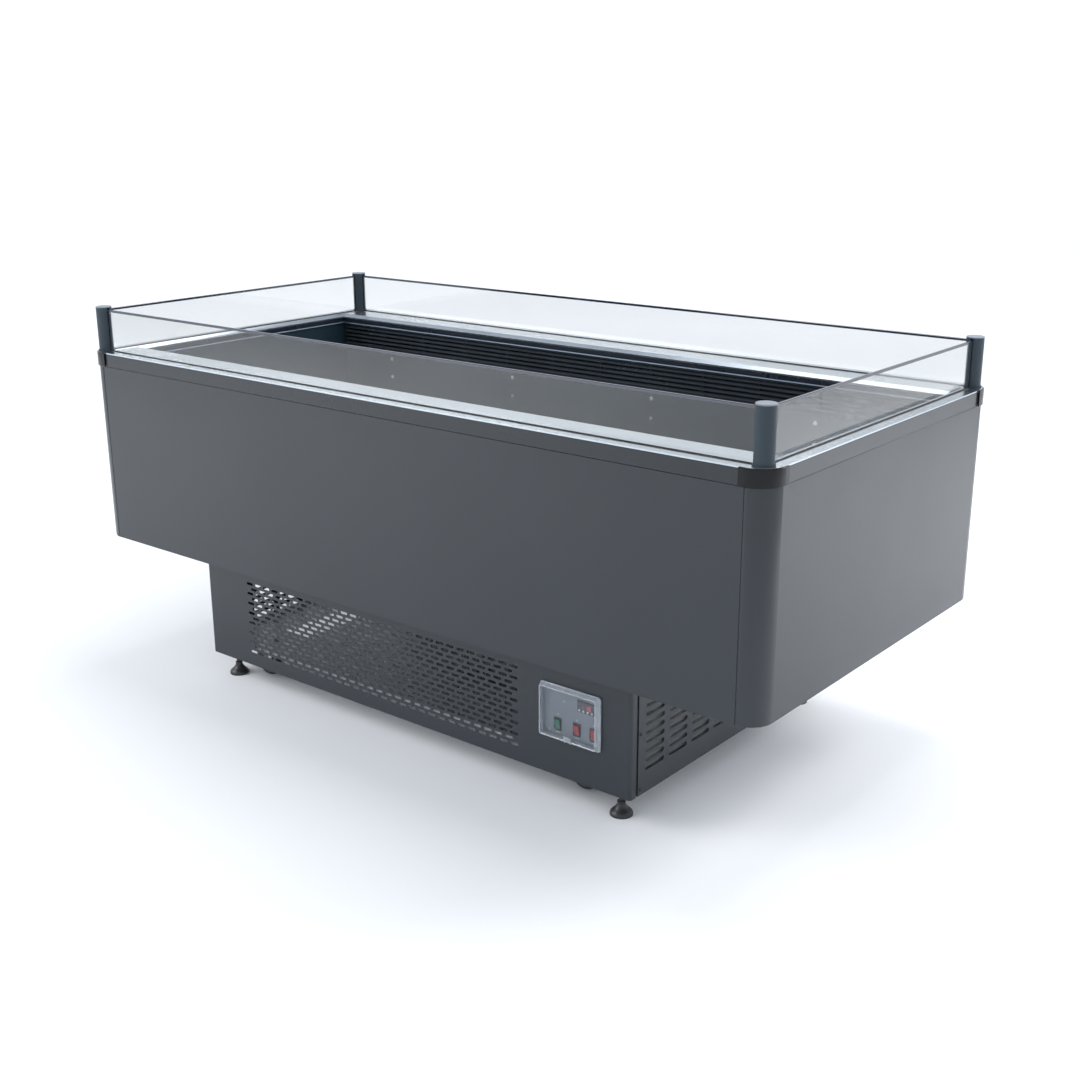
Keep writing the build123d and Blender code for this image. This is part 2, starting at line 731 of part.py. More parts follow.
def caster_fork(x, y):
    """Swivel head with its pintle, two cheeks and the wheel axle."""
    wheel_x = x - CASTER_TRAIL
    cheek_y = WHEEL_WIDTH / 2 + 1.5
    with BuildPart() as piece:
        with BuildSketch(Plane.XY.offset(90)):
            with Locations((x, y)):
                Circle(24)
        extrude(amount=PAN_Z - GAP - 90)
        with BuildSketch(Plane.XY.offset(90)):
            with Locations((x, y)):
                Circle(AXLE_R)
        extrude(amount=18)
        with BuildSketch(Plane.XY.offset(85)):
            with Locations((x - 6, y)):
                Rectangle(36, 2 * cheek_y + 5)
        extrude(amount=5.5)
        for s in (-1, 1):
            with BuildSketch(Plane.XZ.offset(-y - s * cheek_y)):
                with BuildLine():
                    Polyline(
                        (x - 24, 90), (x + 12, 90), (wheel_x + 9, 32), (wheel_x - 9, 32), close=True
                    )
                make_face()
            extrude(amount=-s * 2.5)
        with BuildSketch(Plane.XZ.offset(-y)):
            with Locations((wheel_x, WHEEL_Z)):
                Circle(AXLE_R)
        extrude(amount=cheek_y + 4, both=True)
    return piece


def caster_wheel(x, y):
    """Wheel with a rounded tread, recessed faces and a plain bore."""
    centre = (x - CASTER_TRAIL, y, WHEEL_Z)
    half = WHEEL_WIDTH / 2
    bore = AXLE_R + SHAFT_CLEARANCE
    with BuildPart() as piece:
        with BuildSketch(Plane(origin=centre, x_dir=(1, 0, 0), z_dir=(0, 0, 1))):
            with BuildLine():
                Polyline(
                    (bore, half), (10, half), (12, half - 3), (26, half - 3), (29, half),
                    (WHEEL_R - 4, half),
                )
                ThreePointArc(
                    (WHEEL_R - 4, half), (WHEEL_R, 0), (WHEEL_R - 4, -half)
                )
                Polyline(
                    (WHEEL_R - 4, -half), (29, -half), (26, 3 - half), (12, 3 - half),
                    (10, -half), (bore, -half), (bore, half),
                )
            make_face()
        revolve(axis=Axis(centre, (0, 1, 0)))
    return piece


# ------------------------------------------------------------------ condensing unit

def compressor():
    """Welded hermetic can with a domed top on a mounting plate with four grommets."""
    floor_top = PAN_Z + PAN_SHEET
    plate_z = floor_top + 12
    can_z = plate_z + 4
    seam_z = can_z + 90
    dome_z = seam_z + 38
    centre = (COMPRESSOR_X, COMPRESSOR_Y, 0)
    with BuildPart() as piece:
        with BuildSketch(Plane.XY.offset(can_z)):
            with Locations(centre):
                Circle(COMPRESSOR_R)
        extrude(amount=dome_z - can_z)
        with BuildSketch(Plane.XY.offset(dome_z)):
            with Locations(centre):
                Circle(COMPRESSOR_R)
        extrude(amount=COMPRESSOR_DOME)
        fillet(piece.edges().group_by(Axis.Z)[-1], radius=COMPRESSOR_DOME - 2)
        fillet(piece.edges().group_by(Axis.Z)[0], radius=16)
        with BuildSketch(Plane.XY.offset(seam_z)):
            with Locations(centre):
                Circle(COMPRESSOR_R + 3)
        extrude(amount=7)
        with BuildSketch(Plane.XY.offset(plate_z)):
            with Locations(centre):
                RectangleRounded(200, 130, 12)
        extrude(amount=5)
        with BuildSketch(Plane.XY.offset(floor_top)):
            with Locations(centre):
                with GridLocations(170, 100, 2, 2):
                    Circle(11)
        extrude(amount=plate_z - floor_top)
    return piece


def condenser_coil():
    centre = (CONDENSER_X, CONDENSER_Y, CONDENSER_Z)
    return fin_coil(centre, CONDENSER_SIZE, 35, 6, 2, 4.75)


def hot_fan_plane():
    y = CONDENSER_Y + CONDENSER_SIZE[1] / 2 + 2 * GAP
    return Plane(origin=(CONDENSER_X, y, CONDENSER_Z), x_dir=(1, 0, 0), z_dir=(0, 1, 0))


def condenser_fan_shroud():
    """Plate behind the condenser with a short ring round the fan."""
    plane = hot_fan_plane()
    with BuildPart() as piece:
        with BuildSketch(plane):
            Rectangle(CONDENSER_SIZE[0], CONDENSER_SIZE[2])
            Circle(HOT_FAN_R + 4, mode=Mode.SUBTRACT)
        extrude(amount=SHEET)
        with BuildSketch(plane):
            Circle(HOT_FAN_R + 5.5)
            Circle(HOT_FAN_R + 4, mode=Mode.SUBTRACT)
        extrude(amount=30)
    return piece


def condenser_fan_motor():
    return fan_motor(hot_fan_plane().offset(SHEET), 34, 44, 36, HOT_FAN_R + 14)


def condenser_fan():
    return fan_rotor(hot_fan_plane().offset(18), HOT_FAN_R, 26, 26, 5, 34)


def tube(points, bend, radius):
    """Round copper tube along straight runs joined by bends."""
    with BuildPart() as piece:
        with BuildLine() as path:
            FilletPolyline(*points, radius=bend)
        start = path.line @ 0
        with BuildSketch(Plane(origin=start, z_dir=path.line % 0)):
            Circle(radius)
        sweep()
    return piece


def refrigerant_pipes():
    """Discharge, liquid and suction lines, with the filter drier on the liquid line."""
    top = COMPRESSOR_TOP_Z + GAP
    high = 320
    drier_y = 110
    coil_end = CONDENSER_X - CONDENSER_SIZE[0] / 2 - 6 - GAP
    discharge_x = COMPRESSOR_X + 24
    suction_x = COMPRESSOR_X - 24
    liquid_x = coil_end - 50
    discharge = [
        (discharge_x, COMPRESSOR_Y, top), (discharge_x, COMPRESSOR_Y, high),
        (discharge_x, CONDENSER_Y - 15, high), (coil_end, CONDENSER_Y - 15, high - 30),
    ]
    liquid = [
        (coil_end, CONDENSER_Y + 15, 150), (liquid_x, CONDENSER_Y + 15, 150),
        (liquid_x, 250, 150), (liquid_x, 250, BASE_TOP_Z),
    ]
    suction = [
        (suction_x, COMPRESSOR_Y, top), (suction_x, COMPRESSOR_Y, high),
        (suction_x, 320, high),
    ]
    with BuildPart() as piece:
        add(tube(discharge, 7, 4).part)
        add(tube(liquid, 20, 3).part)
        add(tube(suction, 10, 6).part)
        with BuildSketch(Plane.XZ.offset(-drier_y)):
            with Locations((liquid_x, 150)):
                Circle(15)
        extrude(amount=100)
    return piece


# ------------------------------------------------------------------ control box

def face_plane(y):
    """Plane parallel to the front face, with local x along X and local y along Z."""
    return Plane(origin=(0, y, 0), x_dir=(1, 0, 0), z_dir=(0, -1, 0))


def control_box():
    """Open-backed box with a bezel, and a face plate cut for the display and the rockers."""
    front = -BASE_WIDTH / 2 - GAP
    plate = front + 4
    with BuildPart() as piece:
        with BuildSketch(face_plane(front + BOX_DEPTH)):
            with Locations((BOX_X, BOX_Z)):
                Rectangle(*BOX_SIZE)
                Rectangle(BOX_SIZE[0] - 4, BOX_SIZE[1] - 4, mode=Mode.SUBTRACT)
        extrude(amount=BOX_DEPTH)
        with BuildSketch(face_plane(front)):
            with Locations((BOX_X, BOX_Z)):
                RectangleRounded(COVER_SIZE[0], COVER_SIZE[1], 6)
                Rectangle(BOX_SIZE[0] - 4, BOX_SIZE[1] - 4, mode=Mode.SUBTRACT)
        extrude(amount=2)
        with BuildSketch(face_plane(plate)):
            with Locations((BOX_X, BOX_Z)):
                Rectangle(BOX_SIZE[0] - 4, BOX_SIZE[1] - 4)
            with Locations((DISPLAY_X, DISPLAY_Z)):
                Rectangle(DISPLAY_SIZE[0] + 2 * GAP, DISPLAY_SIZE[1] + 2 * GAP, mode=Mode.SUBTRACT)
            for x in ROCKER_X:
                with Locations((x, ROCKER_Z)):
                    Rectangle(ROCKER_SIZE[0] + 1, ROCKER_SIZE[1] + 1, mode=Mode.SUBTRACT)
        extrude(amount=-2)
    return piece


def control_display():
    """Thermostat module: a window in front of the plate and its body behind."""
    plate = -BASE_WIDTH / 2 - GAP + 4
    with BuildPart() as piece:
        with BuildSketch(face_plane(plate + 30)):
            with Locations((DISPLAY_X, DISPLAY_Z)):
                Rectangle(*DISPLAY_SIZE)
        extrude(amount=32)
        chamfer(piece.faces().sort_by(Axis.Y)[0].edges(), length=1)
    return piece


def rocker(x):
    """Rocker switch cap with two sloped halves and a round pivot along X."""
    plate = -BASE_WIDTH / 2 - GAP + 4
    half = ROCKER_SIZE[1] / 2
    with BuildPart() as piece:
        with BuildSketch(Plane.YZ.offset(x)):
            with BuildLine():
                Polyline(
                    (plate + 10, ROCKER_Z - 5), (plate, ROCKER_Z - half + 1),
                    (plate - 1, ROCKER_Z - half + 1), (plate - 2.5, ROCKER_Z),
                    (plate - 5, ROCKER_Z + half - 1), (plate, ROCKER_Z + half - 1),
                    (plate + 10, ROCKER_Z + 5), close=True,
                )
            make_face()
        extrude(amount=ROCKER_SIZE[0] / 2, both=True)
    return piece


def control_cover():
    """Clear hinged cover: a hollow box with a stepped rim, hinge barrel and latch tab."""
    rim_y = -BASE_WIDTH / 2 - GAP - 2 - GAP
    with BuildPart() as piece:
        with BuildSketch(face_plane(rim_y)):
            with Locations((BOX_X, BOX_Z)):
                RectangleRounded(COVER_SIZE[0], COVER_SIZE[1], 6)
        extrude(amount=COVER_DEPTH, taper=14)
        with BuildSketch(face_plane(rim_y)):
            with Locations((BOX_X, BOX_Z)):
                RectangleRounded(COVER_SIZE[0] - 5, COVER_SIZE[1] - 5, 4)
        extrude(amount=COVER_DEPTH - 2, taper=14, mode=Mode.SUBTRACT)
        with BuildSketch(face_plane(rim_y - 2)):
            with Locations((BOX_X - 6, BOX_Z - COVER_SIZE[1] / 2 + 8)):
                Rectangle(14, 12)
        extrude(amount=COVER_DEPTH)
        with BuildSketch(Plane.YZ.offset(BOX_X)):
            with Locations((rim_y - 2.5, BOX_Z + COVER_SIZE[1] / 2)):
                Circle(2.5)
        extrude(amount=COVER_SIZE[0] / 2 - 20, both=True)
    return piece


def cable_gland():
    """Nylon gland with a hexagon, a domed nut and a through bore for the supply cable."""
    back = BASE_WIDTH / 2
    plane = Plane(origin=(GLAND_X, back - 12, GLAND_Z), x_dir=(1, 0, 0), z_dir=(0, 1, 0))
    with BuildPart() as piece:
        with BuildSketch(plane):
            Circle(10)
        extrude(amount=12)
        with BuildSketch(plane.offset(12)):
            RegularPolygon(14, 6)
        extrude(amount=6)
        with BuildSketch(plane.offset(18)):
            Circle(11.5)
        extrude(amount=12, taper=12)
        with BuildSketch(plane):
            Circle(GLAND_BORE_R)
        extrude(amount=30, mode=Mode.SUBTRACT)
    return piece


# ------------------------------------------------------------------ write every piece

def main():
    os.makedirs("parts", exist_ok=True)
    write(long_panel("front"), "front_panel")
    write(long_panel("back"), "back_panel")
    write(end_panel("left"), "left_end_panel")
    write(end_panel("right"), "right_end_panel")
    write(tub_base_sheet(), "tub_base_sheet")
    write(insulation_foam(), "insulation_foam")
    write(inner_liner(), "inner_liner")
    for side in SIDES:
        write(rim_rail(side), f"rim_rail_{side}")
        write(glass_pane(side), f"glass_{side}")
    write(bumper_rails(), "bumper_rails")
    write(corner_caps(), "corner_caps")
    write(corner_posts(), "corner_posts")
    write(post_caps(), "post_caps")
    write(air_grille("back"), "back_air_grille")
    write(air_grille("front"), "front_air_grille")
    write(duct_panels(), "duct_panels")
    write(evaporator_coil(), "evaporator_coil")
    write(evaporator_fan_deck(), "evaporator_fan_deck")
    write(evaporator_fan_motors(), "evaporator_fan_motors")
    write(base_front_grille(), "base_front_grille")
    write(base_back_grille(), "base_back_grille")
    write(panel_screws(), "panel_screws")
    write(chassis_pan(), "chassis_pan")
    for hand, s in (("left", -1), ("right", 1)):
        write(deck_pan(s), f"deck_pan_{hand}")
        write(evaporator_fan(s), f"evaporator_fan_{hand}")
        write(base_side_panel(s), f"base_{hand}_panel")
        for row, t in (("front", -1), ("back", 1)):
            corner = f"{row}_{hand}"
            write(levelling_foot(s * FOOT_X, t * FOOT_Y), f"levelling_foot_{corner}")
            write(caster_fork(s * CASTER_X, t * CASTER_Y), f"caster_fork_{corner}")
            write(caster_wheel(s * CASTER_X, t * CASTER_Y), f"caster_wheel_{corner}")
    write(compressor(), "compressor")
    write(condenser_coil(), "condenser_coil")
    write(condenser_fan_shroud(), "condenser_fan_shroud")
    write(condenser_fan_motor(), "condenser_fan_motor")
    write(condenser_fan(), "condenser_fan")
    write(refrigerant_pipes(), "refrigerant_pipes")
    write(control_box(), "control_box")
    write(control_display(), "control_display")
    write(control_cover(), "control_cover")
    for label, x in zip(("green_rocker", "red_rocker_left", "red_rocker_right"), ROCKER_X):
        write(rocker(x), label)
    write(cable_gland(), "cable_gland")


main()
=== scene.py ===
import json
import math

import bmesh
import bpy
from mathutils import Matrix, Vector


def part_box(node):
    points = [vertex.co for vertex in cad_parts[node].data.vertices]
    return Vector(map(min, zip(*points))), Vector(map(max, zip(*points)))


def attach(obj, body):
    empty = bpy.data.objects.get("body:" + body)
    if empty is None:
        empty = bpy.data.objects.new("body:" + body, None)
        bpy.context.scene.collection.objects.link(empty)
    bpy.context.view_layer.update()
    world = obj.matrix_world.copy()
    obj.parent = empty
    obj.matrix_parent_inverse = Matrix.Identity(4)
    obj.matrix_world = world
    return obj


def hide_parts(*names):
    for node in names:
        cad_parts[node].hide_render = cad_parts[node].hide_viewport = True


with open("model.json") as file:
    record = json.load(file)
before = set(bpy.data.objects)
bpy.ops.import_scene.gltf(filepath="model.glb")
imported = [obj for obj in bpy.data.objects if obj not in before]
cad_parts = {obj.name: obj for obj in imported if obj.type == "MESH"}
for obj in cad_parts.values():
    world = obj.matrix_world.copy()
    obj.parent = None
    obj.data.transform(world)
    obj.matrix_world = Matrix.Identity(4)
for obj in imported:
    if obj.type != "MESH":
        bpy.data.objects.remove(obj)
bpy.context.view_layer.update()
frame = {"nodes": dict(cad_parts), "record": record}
NODES = frame["nodes"]
CABINET = "cabinet"


# ---------------------------------------------------------------- materials

def tone(r, g, b):
    """Linear colour of an 8-bit sRGB one."""
    return tuple(((c / 255 + 0.055) / 1.055) ** 2.4 for c in (r, g, b)) + (1.0,)


def scaled(colour, factor):
    """The colour made darker or lighter by a factor."""
    return tuple(min(1.0, c * factor) for c in colour[:3]) + (1.0,)


def new_material(name):
    """A material with its node tree and main shader."""
    mat = bpy.data.materials.new(name)
    mat.use_nodes = True
    return mat, mat.node_tree, mat.node_tree.nodes["Principled BSDF"]


def put(tree, kind, values=None, **settings):
    """Shader node with some of its inputs and settings filled in."""
    made = tree.nodes.new("ShaderNode" + kind)
    for key, value in settings.items():
        setattr(made, key, value)
    for key, value in (values or {}).items():
        made.inputs[key].default_value = value
    return made


def join(tree, source, out, target, into):
    """Link from one node's output to another's input."""
    tree.links.new(source.outputs[out], target.inputs[into])


def ramp(tree, source, out, low, high, start, end):
    """Colour that goes from low to high as a value goes from start to end."""
    made = put(tree, "ValToRGB")
    made.color_ramp.elements[0].position = start
    made.color_ramp.elements[0].color = low
    made.color_ramp.elements[1].position = end
    made.color_ramp.elements[1].color = high
    join(tree, source, out, made, "Fac")
    return made


def spread(tree, source, out, low, high, start=0.3, end=0.7):
    """Number that goes from low to high as a value goes from start to end."""
    made = put(tree, "MapRange", {"From Min": start, "From Max": end, "To Min": low, "To Max": high})
    join(tree, source, out, made, "Value")
    return made


def surface(name, colour, rough=0.5, metallic=0.0, shade=0.1, blotch=5.0, grain=700.0,
            bump=0.1, depth=0.0004, stretch=(1, 1, 1), swing=0.05, ior=1.5, coat=0.0, specular=0.5):
    """Solid surface with cloudy colour and gloss changes and a fine grain in its relief."""
    mat, tree, bsdf = new_material(name)
    coord = put(tree, "TexCoord")
    fit = put(tree, "Mapping", {"Scale": stretch})
    join(tree, coord, "Object", fit, "Vector")
    cloud = put(tree, "TexNoise", {"Scale": blotch, "Detail": 5.0, "Roughness": 0.6})
    join(tree, coord, "Object", cloud, "Vector")
    fine = put(tree, "TexNoise", {"Scale": grain, "Detail": 3.0})
    join(tree, fit, "Vector", fine, "Vector")
    tint = ramp(tree, cloud, "Fac", scaled(colour, 1 - shade), scaled(colour, 1 + shade), 0.3, 0.7)
    join(tree, tint, "Color", bsdf, "Base Color")
    gloss = spread(tree, cloud, "Fac", rough - swing, rough + swing)
    join(tree, gloss, "Result", bsdf, "Roughness")
    relief = put(tree, "Bump", {"Strength": bump, "Distance": depth})
    join(tree, fine, "Fac", relief, "Height")
    join(tree, relief, "Normal", bsdf, "Normal")
    bsdf.inputs["Metallic"].default_value = metallic
    bsdf.inputs["IOR"].default_value = ior
    bsdf.inputs["Specular IOR Level"].default_value = specular
    bsdf.inputs["Coat Weight"].default_value = coat
    bsdf.inputs["Coat Roughness"].default_value = 0.06
    return mat


def painted_sheet(name, colour, rough, ior):
    """Powder-coated sheet: orange peel, a little dust in the coat and faint wiped patches."""
    mat, tree, bsdf = new_material(name)
    coord = put(tree, "TexCoord")
    peel = put(tree, "TexNoise", {"Scale": 260.0, "Detail": 2.0})
    cloud = put(tree, "TexNoise", {"Scale": 1.6, "Detail": 4.0, "Roughness": 0.55})
    patch = put(tree, "TexNoise", {"Scale": 4.0, "Detail": 3.0, "Roughness": 0.5, "Distortion": 0.3})
    dust = put(tree, "TexVoronoi", {"Scale": 38.0})
    for texture in (peel, cloud, patch, dust):
        join(tree, coord, "Object", texture, "Vector")
    body = ramp(tree, cloud, "Fac", scaled(colour, 0.93), scaled(colour, 1.07), 0.3, 0.7)
    specks = ramp(tree, dust, "Distance", scaled(colour, 1.0), (0, 0, 0, 1), 0.010, 0.025)
    paint = put(tree, "VectorMath", operation="ADD")
    join(tree, body, "Color", paint, 0)
    join(tree, specks, "Color", paint, 1)
    join(tree, paint, "Vector", bsdf, "Base Color")
    gloss = spread(tree, patch, "Fac", rough - 0.015, rough + 0.03, 0.3, 0.7)
    join(tree, gloss, "Result", bsdf, "Roughness")
    relief = put(tree, "Bump", {"Strength": 0.04, "Distance": 0.0006})
    join(tree, peel, "Fac", relief, "Height")
    join(tree, relief, "Normal", bsdf, "Normal")
    bsdf.inputs["IOR"].default_value = ior
    return mat


def brushed_rail(name, colour, stretch):
    """Brushed aluminium, its grain drawn out along one axis."""
    return surface(name, colour, 0.26, 1.0, 0.05, 3.0, grain=900, bump=0.05, depth=0.0002,
                   stretch=stretch, swing=0.03)


def galvanised(name, colour, rough=0.42):
    """Zinc-coated sheet with its spangle of flat crystals."""
    mat, tree, bsdf = new_material(name)
    coord = put(tree, "TexCoord")
    cells = put(tree, "TexVoronoi", {"Scale": 75.0, "Randomness": 1.0})
    cloud = put(tree, "TexNoise", {"Scale": 9.0, "Detail": 4.0})
    fine = put(tree, "TexNoise", {"Scale": 900.0, "Detail": 2.0})
    for texture in (cells, cloud, fine):
        join(tree, coord, "Object", texture, "Vector")
    split = put(tree, "SeparateColor")
    join(tree, cells, "Color", split, "Color")
    tint = ramp(tree, split, "Red", scaled(colour, 0.82), scaled(colour, 1.12), 0.0, 1.0)
    join(tree, tint, "Color", bsdf, "Base Color")
    gloss = spread(tree, split, "Green", rough - 0.08, rough + 0.1, 0.0, 1.0)
    join(tree, gloss, "Result", bsdf, "Roughness")
    relief = put(tree, "Bump", {"Strength": 0.12, "Distance": 0.0003})
    join(tree, fine, "Fac", relief, "Height")
    join(tree, relief, "Normal", bsdf, "Normal")
    bsdf.inputs["Metallic"].default_value = 0.85
    return mat


def clear(name, colour, rough, ior, wipe=3.0):
    """Clear sheet with a faint tint that drifts over it, as a wiped film does."""
    mat, tree, bsdf = new_material(name)
    coord = put(tree, "TexCoord")
    film = put(tree, "TexNoise", {"Scale": wipe, "Detail": 5.0, "Roughness": 0.6, "Distortion": 1.5})
    join(tree, coord, "Object", film, "Vector")
    tint = ramp(tree, film, "Fac", colour, scaled(colour, 0.97), 0.35, 0.75)
    join(tree, tint, "Color", bsdf, "Base Color")
    bsdf.inputs["Roughness"].default_value = rough
    bsdf.inputs["Transmission Weight"].default_value = 1.0
    bsdf.inputs["IOR"].default_value = ior
    return mat


def lit(name, colour, strength):
    """Small glowing segment whose brightness changes a little at random along it."""
    mat, tree, bsdf = new_material(name)
    coord = put(tree, "TexCoord")
    cloud = put(tree, "TexNoise", {"Scale": 600.0, "Detail": 2.0})
    join(tree, coord, "Object", cloud, "Vector")
    tint = ramp(tree, cloud, "Fac", scaled(colour, 0.8), colour, 0.3, 0.7)
    join(tree, tint, "Color", bsdf, "Base Color")
    join(tree, tint, "Color", bsdf, "Emission Color")
    bsdf.inputs["Emission Strength"].default_value = strength
    return mat


GRAPHITE = tone(36, 42, 48)
RIM = (0.50, 0.55, 0.60, 1.0)
# Darker copy of RIM for the end rails: painted shade on the same aluminium.
RIM_ACROSS_SHADED = (0.45, 0.49, 0.54, 1.0)

MATERIALS = {
    "graphite_panel": painted_sheet("graphite_paint", GRAPHITE, 0.3, 1.5),
    "galvanised_sheet": galvanised("galvanised", (0.6, 0.62, 0.64, 1)),
    "foam": surface("foam", tone(214, 196, 140), 0.85, shade=0.12, grain=420, bump=0.5),
    "black_liner": surface("liner_paint", tone(30, 47, 56), 0.33, grain=320, bump=0.008, swing=0.02),
    "rim_aluminium": brushed_rail("rim_along", RIM, (0.02, 1, 1)),
    "rim_across_shaded": brushed_rail("rim_across_shaded", RIM_ACROSS_SHADED, (1, 0.02, 1)),
    "guard_glass": clear("guard_glass", (0.85, 0.86, 0.855, 1), 0.0, 1.47),
    "bumper_plastic": surface("bumper_plastic", tone(34, 39, 44), 0.24, grain=500, bump=0.04,
                              specular=0.45),
    "gloss_cap": surface("gloss_cap", tone(18, 20, 22), 0.07, grain=300, bump=0.02, swing=0.02,
                         specular=0.25),
    "post_metal": surface("post_anodised", tone(58, 67, 74), 0.42, shade=0.05, blotch=8, grain=800,
                          bump=0.1, depth=0.0002, stretch=(1, 1, 0.02), ior=1.22),
    "pale_cap": surface("post_cap", tone(112, 120, 132), 0.35, grain=600, bump=0.06),
    "black_grille": surface("grille_plastic", tone(58, 64, 71), 0.24, grain=500, bump=0.03,
                            specular=0.7),
    "coil_fins": surface("coil_fins", (0.62, 0.64, 0.66, 1), 0.42, 0.9, 0.12, 14, grain=500,
                         bump=0.2, depth=0.0003, stretch=(1, 1, 0.1)),
    "fan_wall": surface("fan_wall_paint", tone(40, 42, 46), 0.4, grain=300, bump=0.06),
    "motor_black": surface("machine_black", tone(22, 23, 25), 0.35, grain=260, bump=0.15, blotch=12),
    "fan_plastic": surface("fan_plastic", tone(30, 31, 33), 0.4, grain=600, bump=0.1),
    "zinc_screw": surface("zinc_screw", (0.5, 0.5, 0.51, 1), 0.33, 1.0, 0.1, 60, 1500, 0.1),
    "foot_plastic": surface("foot_plastic", tone(38, 40, 43), 0.4, grain=900, bump=0.15),
    "zinc_plate": surface("zinc_plate", (0.52, 0.53, 0.5, 1), 0.38, 0.95, 0.15, 30, 900, 0.1),
    "wheel_tyre": surface("wheel_tyre", tone(34, 35, 37), 0.6, grain=1200, bump=0.25),
    "copper_tube": surface("copper_tube", tone(190, 112, 76), 0.3, 1.0, 0.2, 20, 700, 0.08),
    "control_grey": surface("control_face", tone(138, 145, 154), 0.45, grain=1500, bump=0.1, shade=0.05),
    "display_black": surface("display_window", tone(66, 70, 78), 0.14, grain=900, bump=0.01, coat=0.5),
    "clear_cover": clear("clear_cover", (0.9, 0.93, 0.95, 1), 0.12, 1.4, 40.0),
    "green_switch": surface("green_switch", tone(24, 112, 90), 0.2, grain=900, bump=0.04, coat=0.3),
    "red_switch": surface("red_switch", tone(176, 40, 52), 0.2, grain=900, bump=0.04, coat=0.3),
    "gland_nylon": surface("gland_nylon", tone(26, 27, 28), 0.5, grain=1200, bump=0.15),
}
RUBBER = surface("rubber_seal", tone(17, 18, 20), 0.55, grain=1400, bump=0.2)
NAVY = surface("breaker_plastic", tone(24, 31, 44), 0.28, grain=500, bump=0.05)
# Pale grey of the pad behind the right louvres: painted light for the lit inside seen through the slots.
LIT_INSIDE_PAD = surface("lit_inside_pad", tone(128, 130, 128), 0.85, grain=520, bump=0.8, depth=0.002, blotch=40)
BEAD = surface("trim_bead", tone(118, 132, 148), 0.4, 0.6, grain=900, bump=0.05, stretch=(0.02, 1, 1))
HUB = surface("wheel_hub", tone(84, 86, 90), 0.45, grain=900, bump=0.1)
WHITE_MARK = surface("white_mark", tone(222, 226, 230), 0.5, grain=1200, bump=0.05)
PANE_EDGE = surface("pane_edge", tone(30, 37, 56), 0.12, grain=400, bump=0.01, blotch=12,
                    ior=1.9, swing=0.03)
FROSTED = surface("frosted_rim", tone(226, 232, 238), 0.2, grain=260, bump=0.14, depth=0.0005,
                  shade=0.08, blotch=60, ior=1.22, coat=0.8)
FROSTED.node_tree.nodes["Principled BSDF"].inputs["Transmission Weight"].default_value = 0.74
LED_RED = lit("led_red", tone(226, 70, 110), 0.7)


def dress(node, material):
    """Gives a CAD node one material."""
    data = NODES[node].data
    data.materials.clear()
    data.materials.append(material)


for part in frame["record"]["subparts"]:
    dress(part["node"], MATERIALS[part["material_slot"]])
# End rails: brushing grain turned across, and a darker copy of the rail colour as painted shade.
for side in ("left", "right"):
    dress("rim_rail_" + side, MATERIALS["rim_across_shaded"])


def soften(node, width):
    """Small rounded edges on a sheet or moulded part, so its edges catch the light."""
    obj = NODES[node]
    weld = obj.modifiers.new("weld", "WELD")
    weld.merge_threshold = 0.00002
    edge = obj.modifiers.new("edge", "BEVEL")
    edge.width = width
    edge.segments = 2
    edge.limit_method = "ANGLE"
    edge.angle_limit = math.radians(40)
    edge.use_clamp_overlap = True


# ---------------------------------------------------------------- mesh tools

def add_box(bm, low, high, bevel):
    """Block with rounded edges between two corners."""
    verts = bmesh.ops.create_cube(bm, size=1.0)["verts"]
    low, high = Vector(low), Vector(high)
    middle = (low + high) / 2
    size = high - low
    for v in verts:
        v.co = middle + v.co * size
    edges = {e for v in verts for e in v.link_edges}
    bmesh.ops.bevel(bm, geom=list(edges), offset=bevel, segments=2, profile=0.5, affect="EDGES")


def add_block(bm, middle, half, bevel):
    """Block with rounded edges, given by its middle and half its size."""
    middle, half = Vector(middle), Vector(half)
    add_box(bm, middle - half, middle + half, bevel)


def add_turned(bm, profile, origin, axis, steps=32):
    """Turned piece: the profile is (radius, height) pairs along the axis."""
    turn = Vector((0, 0, 1)).rotation_difference(Vector(axis)).to_matrix()
    origin = Vector(origin)
    rings = []
    for radius, height in profile:
        count = steps if radius > 0 else 1
        angles = [2 * math.pi * i / steps for i in range(count)]
        points = [Vector((radius * math.cos(a), radius * math.sin(a), height)) for a in angles]
        rings.append([bm.verts.new(origin + turn @ p) for p in points])
    for a, b in zip(rings, rings[1:]):
        for i in range(steps):
            j = (i + 1) % steps
            corners = [a[i % len(a)], a[j % len(a)], b[j % len(b)], b[i % len(b)]]
            corners = list(dict.fromkeys(corners))
            if len(corners) > 2:
                bm.faces.new(corners)


def add_ring(bm, section, half_x, half_y):
    """Mitred frame swept round a rectangle: the section is (outward offset, height) pairs."""
    loops = []
    for out, z in section:
        x, y = half_x + out, half_y + out
        loops.append([bm.verts.new(p) for p in ((-x, -y, z), (x, -y, z), (x, y, z), (-x, y, z))])
    for a, b in zip(loops, loops[1:] + loops[:1]):
        for i in range(4):
            j = (i + 1) % 4
            bm.faces.new((a[i], a[j], b[j], b[i]))


def add_bar(bm, section, start, end):
    """Straight bar along X or Y: the section is (across, height) pairs."""
    start, end = Vector(start), Vector(end)
    along = (end - start).normalized()
    across = Vector((-along.y, along.x, 0))
    rows = []
    for point in (start, end):
        rows.append([bm.verts.new(point + across * a + Vector((0, 0, h))) for a, h in section])
    count = len(section)
    for i in range(count):
        j = (i + 1) % count
        bm.faces.new((rows[0][i], rows[0][j], rows[1][j], rows[1][i]))
    bm.faces.new(rows[0])
    bm.faces.new(rows[1])


